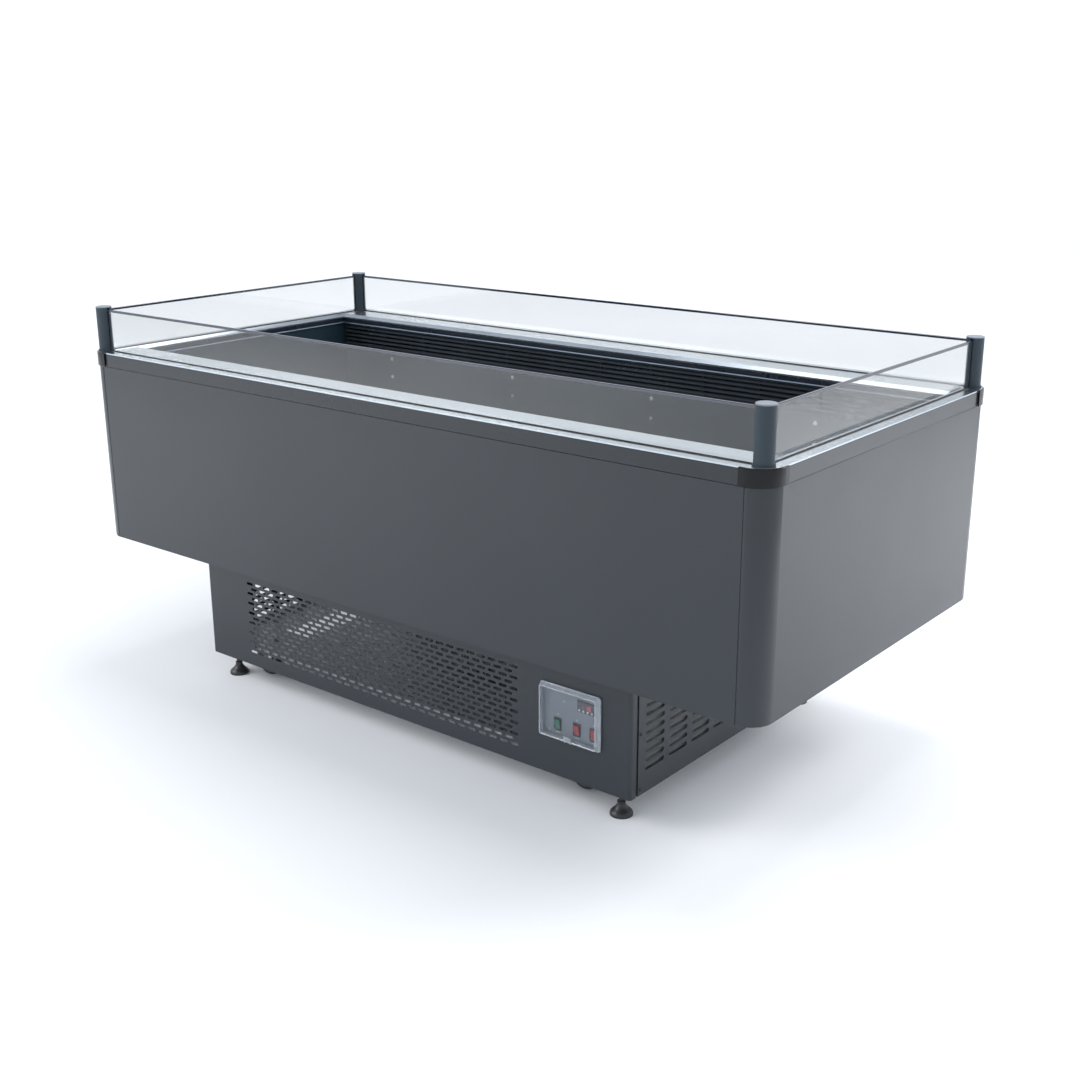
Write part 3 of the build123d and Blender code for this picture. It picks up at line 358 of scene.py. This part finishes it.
def add_cross_head(bm, centre, out, radius):
    """Pan-head screw with a cross recess, facing the direction out."""
    turn = Vector((0, 0, 1)).rotation_difference(Vector(out)).to_matrix()
    centre = Vector(centre)
    steps = 24
    arm, half = radius * 0.62, radius * 0.13
    cross = [(arm, -half), (arm, half), (half, half), (half, arm), (-half, arm), (-half, half),
             (-arm, half), (-arm, -half), (-half, -half), (-half, -arm), (half, -arm), (half, -half)]

    def ring(scale, height):
        """Circle of points at a height over the seat."""
        angles = [2 * math.pi * i / steps for i in range(steps)]
        points = [(scale * math.cos(a), scale * math.sin(a), height) for a in angles]
        return [bm.verts.new(centre + turn @ Vector(p)) for p in points]

    rings = [ring(radius, 0.0), ring(radius, radius * 0.22), ring(radius * 0.86, radius * 0.42)]
    for a, b in zip(rings, rings[1:]):
        for i in range(steps):
            j = (i + 1) % steps
            bm.faces.new((a[i], a[j], b[j], b[i]))
    top, bottom = [], []
    for x, y in cross:
        top.append(bm.verts.new(centre + turn @ Vector((x, y, radius * 0.5))))
        bottom.append(bm.verts.new(centre + turn @ Vector((x * 0.8, y * 0.8, radius * 0.1))))
    for i in range(12):
        j = (i + 1) % 12
        bm.faces.new((top[i], top[j], bottom[j], bottom[i]))
    bm.faces.new(bottom)
    for i in range(12):
        a, b = rings[-1][2 * i], rings[-1][(2 * i + 1) % steps]
        c = rings[-1][(2 * i + 2) % steps]
        k = (i + 11) % 12
        bm.faces.new((a, b, top[i]))
        bm.faces.new((b, c, top[i]))
        bm.faces.new((a, top[i], top[k]))


def publish(bm, name, material, body, angle=35, replaces=()):
    """Turns the mesh into a piece that rides on a body."""
    bmesh.ops.remove_doubles(bm, verts=bm.verts, dist=1e-7)
    bmesh.ops.recalc_face_normals(bm, faces=bm.faces)
    data = bpy.data.meshes.new(name)
    bm.to_mesh(data)
    bm.free()
    data.materials.append(material)
    data.shade_smooth()
    data.set_sharp_from_angle(angle=math.radians(angle))
    obj = bpy.data.objects.new(name, data)
    bpy.context.scene.collection.objects.link(obj)
    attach(obj, body)
    if replaces:
        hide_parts(*replaces)


# ---------------------------------------------------------------- camera, light and stage

CAMERA_PLACE = (2.1892, -2.5755, 1.4524)
CAMERA_ANGLES = (39.08, 17.39, -0.23)
CAMERA_LENS = 47.359
FLOOR_RADIUS = 40.0
LIGHTS = (
    ("key_front_left", (-3.2, -3.2, 3.0), (-1.6, -1.6, 0.0), (2.6, 2.6), 130),
    ("fill_right_back", (2.7, 2.2, 2.6), (2.4, 2.1, 0.0), (1.6, 1.6), 105),
    ("top_soft", (0.0, 0.6, 3.4), (0.0, 0.0, 0.8), (2.6, 1.6), 60),
)


def make_camera():
    """Camera turned by yaw, pitch and roll from a view along +Y."""
    yaw, pitch, roll = (math.radians(a) for a in CAMERA_ANGLES)
    ahead = math.cos(pitch)
    forward = Vector((-math.sin(yaw) * ahead, math.cos(yaw) * ahead, -math.sin(pitch)))
    level = Vector((math.cos(yaw), math.sin(yaw), 0))
    up = level.cross(forward)
    right = math.cos(roll) * level + math.sin(roll) * up
    up = right.cross(forward)
    data = bpy.data.cameras.new("camera")
    data.sensor_width = 36.0
    data.lens = CAMERA_LENS
    data.clip_end = 60.0
    cam = bpy.data.objects.new("camera", data)
    turn = Matrix((right, up, -forward)).transposed().to_4x4()
    cam.matrix_world = Matrix.Translation(CAMERA_PLACE) @ turn
    bpy.context.scene.collection.objects.link(cam)
    bpy.context.scene.camera = cam


def area_light(name, place, target, size, power):
    """Soft rectangular light that faces a target."""
    data = bpy.data.lights.new(name, "AREA")
    data.shape = "RECTANGLE"
    data.size, data.size_y = size
    data.energy = power
    lamp = bpy.data.objects.new(name, data)
    lamp.location = place
    lamp.rotation_euler = (Vector(target) - Vector(place)).to_track_quat("-Z", "Y").to_euler()
    bpy.context.scene.collection.objects.link(lamp)


def make_world():
    """Even pale surroundings, brightest near the horizon."""
    world = bpy.data.worlds.new("studio")
    world.use_nodes = True
    tree = world.node_tree
    background = tree.nodes["Background"]
    coord = put(tree, "TexCoord")
    split = put(tree, "SeparateXYZ")
    join(tree, coord, "Generated", split, "Vector")
    tint = ramp(tree, split, "Z", (0.94, 0.97, 1.0, 1), (0.38, 0.42, 0.48, 1), 0.3, 0.85)
    join(tree, tint, "Color", background, "Color")
    background.inputs["Strength"].default_value = 1.14
    bpy.context.scene.world = world
    bpy.context.scene.view_settings.view_transform = "Standard"


def make_floor():
    """Pale sweep that grows brighter away from the object, so that it meets the pale surroundings."""
    mat, tree, bsdf = new_material("stage_floor")
    coord = put(tree, "TexCoord")
    cloud = put(tree, "TexNoise", {"Scale": 0.8, "Detail": 2.0})
    reach = put(tree, "VectorMath", operation="LENGTH")
    join(tree, coord, "Object", cloud, "Vector")
    join(tree, coord, "Object", reach, 0)
    tint = ramp(tree, cloud, "Fac", (0.88, 0.89, 0.91, 1), (0.91, 0.92, 0.94, 1), 0.3, 0.7)
    join(tree, tint, "Color", bsdf, "Base Color")
    glow = put(tree, "MapRange", {"From Min": 1.5, "From Max": 6.0, "To Min": 0.0, "To Max": 0.4})
    join(tree, reach, "Value", glow, "Value")
    join(tree, glow, "Result", bsdf, "Emission Strength")
    bsdf.inputs["Emission Color"].default_value = (1, 1, 1, 1)
    bsdf.inputs["Roughness"].default_value = 0.9
    bm = bmesh.new()
    bmesh.ops.create_circle(bm, cap_ends=True, segments=96, radius=FLOOR_RADIUS)
    data = bpy.data.meshes.new("stage_floor")
    bm.to_mesh(data)
    bm.free()
    data.materials.append(mat)
    floor = bpy.data.objects.new("stage_floor", data)
    bpy.context.scene.collection.objects.link(floor)


make_camera()
make_world()
make_floor()
for light in LIGHTS:
    area_light(*light)


# ---------------------------------------------------------------- carried-over parts

SHEET_EDGE, RAIL_EDGE = 0.0004, 0.0006

for node in ("front_panel", "back_panel", "left_end_panel", "right_end_panel"):
    soften(node, SHEET_EDGE)
for side in ("front", "back", "left", "right"):
    soften("rim_rail_" + side, RAIL_EDGE)
for node in ("corner_caps", "bumper_rails", "control_box", "deck_pan_left", "deck_pan_right"):
    soften(node, SHEET_EDGE)


# ---------------------------------------------------------------- rim, guard and well

RAIL_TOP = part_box("rim_rail_front")[1].z
INNER_X, INNER_Y = 0.950, 0.363
GLASS_X, GLASS_Y = 0.970, 0.450
SEAL_STOP = 0.0225
DUCT_FACE = 0.3690
DUCT_SCREW_X = (-0.757, -0.295, 0.167, 0.629)
DUCT_SCREW_Z = (0.662, 0.714)
WASHER_RADIUS, WASHER_RISE = 0.0052, 0.0009
SEAM_X, SEAM_Y, SEAM_LOW, SEAM_HIGH = 0.95, 0.4789, 0.340, 0.792
BASE_SEAM_X, BASE_SEAM_Y, BASE_LOW, BASE_HIGH = 0.6655, 0.3915, 0.064, 0.336
END_SEAM_X, END_SEAM_Y, END_SEAM_Z = 0.9994, 0.418, 0.79385
RIB_COUNT, RIB_PITCH, RIB_END = 5, 0.13, 0.08


def breaker_strip():
    """Dark lining from the lip of the rails down to the trim line."""
    bm = bmesh.new()
    add_ring(bm, [(0.0036, 0.8205), (0.0032, 0.8175), (0.0030, 0.8060), (0.0044, 0.8058),
                  (0.0046, 0.8175), (0.0050, 0.8205)], INNER_X, INNER_Y)
    publish(bm, "breaker_strip", NAVY, CABINET, 20)


def trim_line():
    """Metal bead that ends the lining above the grilles."""
    bm = bmesh.new()
    add_ring(bm, [(0.0010, 0.8032), (0.0006, 0.8040), (0.0010, 0.8056), (0.0020, 0.8062),
                  (0.0046, 0.8062), (0.0046, 0.8028), (0.0020, 0.8026)], INNER_X, INNER_Y)
    publish(bm, "trim_line", BEAD, CABINET)


def duct_screws():
    """Pairs of screws with washers that hold both duct panels."""
    bm = bmesh.new()
    washer = [(0.0, WASHER_RISE), (WASHER_RADIUS - 0.0006, WASHER_RISE),
              (WASHER_RADIUS, WASHER_RISE - 0.0006), (WASHER_RADIUS, 0.0), (0.0, 0.0)]
    for s in (-1, 1):
        for x in DUCT_SCREW_X:
            for z in DUCT_SCREW_Z:
                add_turned(bm, washer, (x * s, s * DUCT_FACE, z), (0, -s, 0), 24)
                add_cross_head(bm, (x * s, s * (DUCT_FACE - WASHER_RISE), z), (0, -s, 0), 0.0034)
    publish(bm, "duct_screws", MATERIALS["zinc_screw"], CABINET, 30)


def pane_edges():
    """Ground and polished top edge of each pane."""
    bm = bmesh.new()
    cap = [(-0.00305, -0.0052), (-0.00305, -0.0006), (-0.0020, 0.0003), (0.0020, 0.0003),
           (0.00305, -0.0006), (0.00305, -0.0052)]
    for side in ("front", "back", "left", "right"):
        low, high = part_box("glass_" + side)
        middle = (low + high) / 2
        if high.x - low.x > high.y - low.y:
            add_bar(bm, cap, (low.x, middle.y, high.z), (high.x, middle.y, high.z))
        else:
            add_bar(bm, cap, (middle.x, low.y, high.z), (middle.x, high.y, high.z))
    publish(bm, "pane_edges", PANE_EDGE, CABINET)


def glass_seals():
    """Two soft lips that close the groove against each pane."""
    bm = bmesh.new()
    z = RAIL_TOP
    lip = [(0.0031, -0.004), (0.0056, 0.0001), (0.0052, 0.0010), (0.0040, 0.0016), (0.0031, 0.0014)]
    mirror = [(-a, h) for a, h in reversed(lip)]
    runs = []
    for s in (-1, 1):
        x, y = GLASS_X - SEAL_STOP, GLASS_Y - SEAL_STOP
        runs.append(((-x, s * GLASS_Y, z), (x, s * GLASS_Y, z)))
        runs.append(((s * GLASS_X, -y, z), (s * GLASS_X, y, z)))
    for start, end in runs:
        add_bar(bm, lip, start, end)
        add_bar(bm, mirror, start, end)
    publish(bm, "glass_seals", RUBBER, CABINET)


def panel_seals():
    """Dark strips set back in the seams of the tub and of the machine base."""
    bm = bmesh.new()
    tub_z, tub_half = (SEAM_LOW + SEAM_HIGH) / 2, (SEAM_HIGH - SEAM_LOW) / 2
    base_z, base_half = (BASE_LOW + BASE_HIGH) / 2, (BASE_HIGH - BASE_LOW) / 2
    for sx in (-1, 1):
        for sy in (-1, 1):
            add_block(bm, (sx * SEAM_X, sy * SEAM_Y, tub_z), (0.0006, 0.0004, tub_half), 0.0001)
            add_block(bm, (sx * BASE_SEAM_X, sy * BASE_SEAM_Y, base_z),
                      (0.0035, 0.0032, base_half), 0.0008)
    publish(bm, "panel_seals", RUBBER, CABINET)


def end_seam_fill():
    """Painted strip in the seam between each end panel and the band over it."""
    bm = bmesh.new()
    for s in (-1, 1):
        add_block(bm, (s * END_SEAM_X, 0, END_SEAM_Z), (0.0004, END_SEAM_Y, 0.00045), 0.0001)
    publish(bm, "end_seam_fill", MATERIALS["graphite_panel"], CABINET)


def deck_ribs(hand):
    """Pressed beads that stiffen one deck pan."""
    low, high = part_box("deck_pan_" + hand)
    bm = bmesh.new()
    bead = [(-0.009, 0.0), (-0.006, 0.0016), (-0.002, 0.0026), (0.002, 0.0026), (0.006, 0.0016),
            (0.009, 0.0)]
    for i in range(RIB_COUNT):
        y = RIB_PITCH * (i - (RIB_COUNT - 1) / 2)
        add_bar(bm, bead, (low.x + RIB_END, y, high.z), (high.x - RIB_END, y, high.z))
    publish(bm, "deck_ribs_" + hand, MATERIALS["black_liner"], "deck_" + hand, 60)


breaker_strip()
trim_line()
duct_screws()
pane_edges()
glass_seals()
panel_seals()
end_seam_fill()
deck_ribs("left")
deck_ribs("right")


# ---------------------------------------------------------------- machine base

SIDE_FACE = 0.6711
SIDE_SCREW_Y = (-0.379, 0.379)
SIDE_SCREW_Z = (0.073, 0.200, 0.327)
FIN_COUNT, FIN_MARGIN = 130, 0.010


def side_screws():
    """Cross-head screws of both side panels."""
    bm = bmesh.new()
    for s in (-1, 1):
        for y in SIDE_SCREW_Y:
            for z in SIDE_SCREW_Z:
                add_cross_head(bm, (s * SIDE_FACE, y, z), (s, 0, 0), 0.004)
    paint = MATERIALS["graphite_panel"]
    publish(bm, "side_screws", paint, CABINET, 30, ("panel_screws",))


def lit_inside_pad():
    """Pale pad behind the louvres of the right side: painted light standing in for the lit inside seen
    through the slots.
    """
    bm = bmesh.new()
    add_box(bm, (0.652, -0.372, 0.104), (0.662, 0.372, 0.330), 0.002)
    publish(bm, "lit_inside_pad", LIT_INSIDE_PAD, CABINET)


def condenser_fins():
    """Close-set fins between the coarse ones of the condenser."""
    low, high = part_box("condenser_coil")
    middle, half = (low + high) / 2, (high - low) / 2
    bm = bmesh.new()
    pitch = 2 * (half.x - FIN_MARGIN) / (FIN_COUNT - 1)
    for i in range(FIN_COUNT):
        x = low.x + FIN_MARGIN + pitch * i
        add_block(bm, (x, middle.y, middle.z), (0.00012, half.y - 0.002, half.z - 0.002), 0.00004)
    publish(bm, "condenser_fins", MATERIALS["coil_fins"], CABINET)


def terminal_cover():
    """Terminal cover on the compressor can."""
    low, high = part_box("compressor")
    middle = (low + high) / 2
    bm = bmesh.new()
    add_block(bm, (middle.x, low.y - 0.012, 0.1825), (0.028, 0.018, 0.0325), 0.004)
    publish(bm, "terminal_cover", MATERIALS["gland_nylon"], CABINET)


side_screws()
lit_inside_pad()
condenser_fins()
terminal_cover()


# ---------------------------------------------------------------- feet and casters

FOOT_X, FOOT_Y, NUT_Z = 0.621, 0.375, 0.0825
HUB_RADIUS = 0.0285


def lock_nuts():
    """Nuts on the foot stems under the weld nuts of the pan."""
    bm = bmesh.new()
    nut = [(0.0065, 0.0), (0.0105, 0.0004), (0.011, 0.0012), (0.011, 0.0058),
           (0.0105, 0.0066), (0.0065, 0.007), (0.0065, 0.0)]
    for sx in (-1, 1):
        for sy in (-1, 1):
            add_turned(bm, nut, (sx * FOOT_X, sy * FOOT_Y, NUT_Z), (0, 0, 1), 6)
    publish(bm, "lock_nuts", MATERIALS["zinc_plate"], CABINET, 20)


def hub_faces(node):
    """The wheel's hub and web take a lighter plastic than its tread."""
    data = NODES[node].data
    low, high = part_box(node)
    middle = (low + high) / 2
    data.materials.append(HUB)
    for face in data.polygons:
        offset = face.center - middle
        if math.hypot(offset.x, offset.z) < HUB_RADIUS:
            face.material_index = 1


lock_nuts()
for corner in ("front_left", "front_right", "back_left", "back_right"):
    hub_faces("caster_wheel_" + corner)


# ---------------------------------------------------------------- control box

PLATE_Y = -0.4113
ROCKER_X, ROCKER_Z = (0.479, 0.530, 0.574), 0.181
KEY_X, KEY_Z = (0.537, 0.548, 0.559, 0.570), 0.2285
PLATE_SCREWS = ((0.452, 0.256), (0.496, 0.2365), (0.580, 0.163), (0.456, 0.163))
READOUT = "-18"
READOUT_X, READOUT_Z, DIGIT_PITCH = 0.5445, 0.2330, 0.0082
SEGMENTS = {"1": "bc", "8": "abcdefg", "-": "g"}
WINDOW_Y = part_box("control_display")[0].y


def rocker_frames():
    """Black bezel of four bars round each rocker."""
    bm = bmesh.new()
    bar, depth = 0.0011, 0.0008
    across, up, inner_up = 0.00885, 0.01385, 0.0127
    for x in ROCKER_X:
        for s in (-1, 1):
            add_block(bm, (x, PLATE_Y - depth, ROCKER_Z + s * up), (0.0100, depth, bar), 0.0003)
            add_block(bm, (x + s * across, PLATE_Y - depth, ROCKER_Z), (bar, depth, inner_up), 0.0003)
    publish(bm, "rocker_frames", MATERIALS["gland_nylon"], CABINET)


def digits():
    """Temperature readout made of bar segments."""
    bm = bmesh.new()
    w, h, t = 0.0050, 0.0046, 0.0010
    spots = {
        "a": (0, 2 * h, 1), "b": (w, 1.5 * h, 0), "c": (w, 0.5 * h, 0), "d": (0, 0, 1),
        "e": (0, 0.5 * h, 0), "f": (0, 1.5 * h, 0), "g": (0, h, 1),
    }
    for place, sign in enumerate(READOUT):
        x0 = READOUT_X + place * DIGIT_PITCH
        for key in SEGMENTS[sign]:
            dx, dz, flat = spots[key]
            x = x0 + (w / 2 if flat else dx)
            half = ((w - t) / 2, 0.0002, t / 2) if flat else (t / 2, 0.0002, (h - t) / 2)
            add_block(bm, (x, WINDOW_Y - 0.0002, READOUT_Z + dz), half, 0.0001)
    publish(bm, "digits", LED_RED, CABINET)


def key_marks():
    """Sealed keys of the controller, and a dot over and a bar under each rocker."""
    bm = bmesh.new()
    key = [(0.0, 0.0005), (0.0022, 0.0004), (0.0027, 0.0001), (0.0027, 0.0)]
    dot = [(0.0, 0.0003), (0.0015, 0.0003), (0.0017, 0.0)]
    for x in KEY_X:
        add_turned(bm, key, (x, WINDOW_Y, KEY_Z), (0, -1, 0), 20)
    for x in ROCKER_X:
        add_turned(bm, dot, (x, PLATE_Y, ROCKER_Z + 0.0215), (0, -1, 0), 16)
        add_block(bm, (x, PLATE_Y - 0.00015, ROCKER_Z - 0.01925), (0.005, 0.00015, 0.00075), 0.0001)
    publish(bm, "key_marks", WHITE_MARK, CABINET)


def plate_screws():
    """Cross-head screws of the face plate."""
    bm = bmesh.new()
    for x, z in PLATE_SCREWS:
        add_cross_head(bm, (x, PLATE_Y, z), (0, -1, 0), 0.0032)
    publish(bm, "plate_screws", MATERIALS["zinc_screw"], CABINET, 30)


def rounded_loop(bm, centre, half, radius, y):
    """Corner-rounded loop of points in a plane that faces -Y."""
    points = []
    steps = 6
    for sx, sz, start in ((1, 1, 0), (-1, 1, 90), (-1, -1, 180), (1, -1, 270)):
        for i in range(steps + 1):
            a = math.radians(start + 90 * i / steps)
            x = centre[0] + sx * (half[0] - radius) + radius * math.cos(a)
            z = centre[1] + sz * (half[1] - radius) + radius * math.sin(a)
            points.append(bm.verts.new((x, y, z)))
    return points


def bridge(bm, loops):
    """Faces that join each loop of points to the next."""
    for a, b in zip(loops, loops[1:]):
        for i in range(len(a)):
            j = (i + 1) % len(a)
            bm.faces.new((a[i], a[j], b[j], b[i]))


COVER_LOW, COVER_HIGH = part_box("control_cover")
COVER_X, COVER_Z = (COVER_LOW.x + COVER_HIGH.x) / 2, (COVER_LOW.z + COVER_HIGH.z) / 2
COVER_HALF_X, COVER_HALF_Z = (COVER_HIGH.x - COVER_LOW.x) / 2, (COVER_HIGH.z - COVER_LOW.z) / 2
COVER_DEPTH, SECTION_DEPTH = 0.0122, 0.0150
COVER_BACK = COVER_HIGH.y
COVER_FRONT = COVER_BACK - COVER_DEPTH


def cover_loop(bm, inset, radius, y):
    """Rounded loop round the cover, inset from its outline."""
    half = (COVER_HALF_X - inset, COVER_HALF_Z - inset)
    return rounded_loop(bm, (COVER_X, COVER_Z), half, radius, y)


def cover_frame():
    """Frosted frame with sloped sides; its section is (inset, height) pairs, flattened to fit."""
    section = [(0.0000, 0.0), (0.0000, 0.0016), (0.0010, 0.0026), (0.0046, 0.0136),
               (0.0052, 0.0148), (0.0062, 0.0150), (0.0072, 0.0150), (0.0080, 0.0142),
               (0.0083, 0.0118), (0.0070, 0.0116), (0.0060, 0.0126), (0.0036, 0.0034),
               (0.0020, 0.0018), (0.0018, 0.0)]
    bm = bmesh.new()
    loops = []
    for inset, out in section:
        radius = max(0.002, 0.008 - inset / 2)
        loops.append(cover_loop(bm, inset, radius, COVER_BACK - COVER_DEPTH * out / SECTION_DEPTH))
    bridge(bm, loops + loops[:1])
    publish(bm, "cover_frame", FROSTED, "control_cover", 30, ("control_cover",))


def cover_latch():
    """Latch tab with two prongs at the cover's foot."""
    bm = bmesh.new()
    foot = COVER_LOW.z + 0.0015
    add_block(bm, (COVER_X, COVER_FRONT + 0.00305, foot + 0.0100), (0.010, 0.00295, 0.0050), 0.0012)
    for s in (-1, 1):
        add_block(bm, (COVER_X + s * 0.0075, COVER_FRONT + 0.0072, foot + 0.0030),
                  (0.0012, 0.0050, 0.0030), 0.0005)
    publish(bm, "cover_latch", FROSTED, "control_cover", 30)


def cover_window():
    """Clear pane in the cover's frame."""
    bm = bmesh.new()
    pane = [cover_loop(bm, 0.0084, 0.002, COVER_FRONT + y) for y in (0.0014, 0.0028)]
    bridge(bm, pane)
    bm.faces.new(pane[0])
    bm.faces.new(pane[1])
    publish(bm, "cover_window", MATERIALS["clear_cover"], "control_cover", 30)


rocker_frames()
digits()
key_marks()
plate_screws()
cover_frame()
cover_latch()
cover_window()
